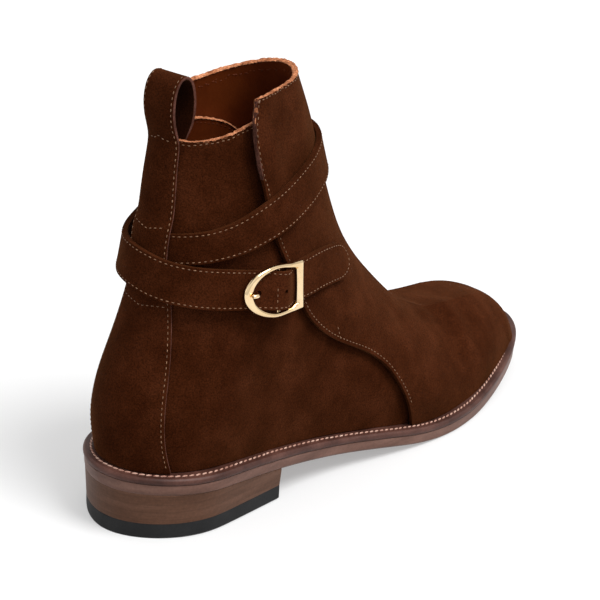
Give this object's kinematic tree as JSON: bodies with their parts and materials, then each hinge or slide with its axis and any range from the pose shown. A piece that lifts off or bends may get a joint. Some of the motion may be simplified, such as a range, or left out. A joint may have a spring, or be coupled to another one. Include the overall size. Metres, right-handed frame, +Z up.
{
  "type": "strap boot",
  "caption": "Right suede ankle boot: hollow upper with lapped front panel and pull loop on a welted sole with stacked heel, closed by a long strap wound round the ankle to a D buckle.",
  "frame": {"origin": "on the floor under the middle of the heel", "axes": "+Z up, +Y from the heel to the toe, +X to the wearer's right, the outer side of this right boot"},
  "size_m": [0.0909, 0.2902, 0.1932],
  "materials": {
    "suede": "napped dark brown suede",
    "insole_leather": "smooth tan leather",
    "welt_leather": "waxed reddish brown leather",
    "sole_leather": "burnished sole leather",
    "heel_leather": "burnished stacked leather",
    "lift_rubber": "matt black rubber",
    "gold_plate": "polished pale gold"
  },
  "bodies": {
    "root": {"outsole": "sole_leather", "heel_stack": "heel_leather", "top_lift": "lift_rubber", "welt": "welt_leather", "insole": "insole_leather", "upper": "suede", "front_panel": "suede", "heel_counter": "suede", "pull_loop": "suede", "strap": "suede", "buckle_frame": "gold_plate", "buckle_axle": "gold_plate", "buckle_prong": "gold_plate"}
  },
  "joints": []
}
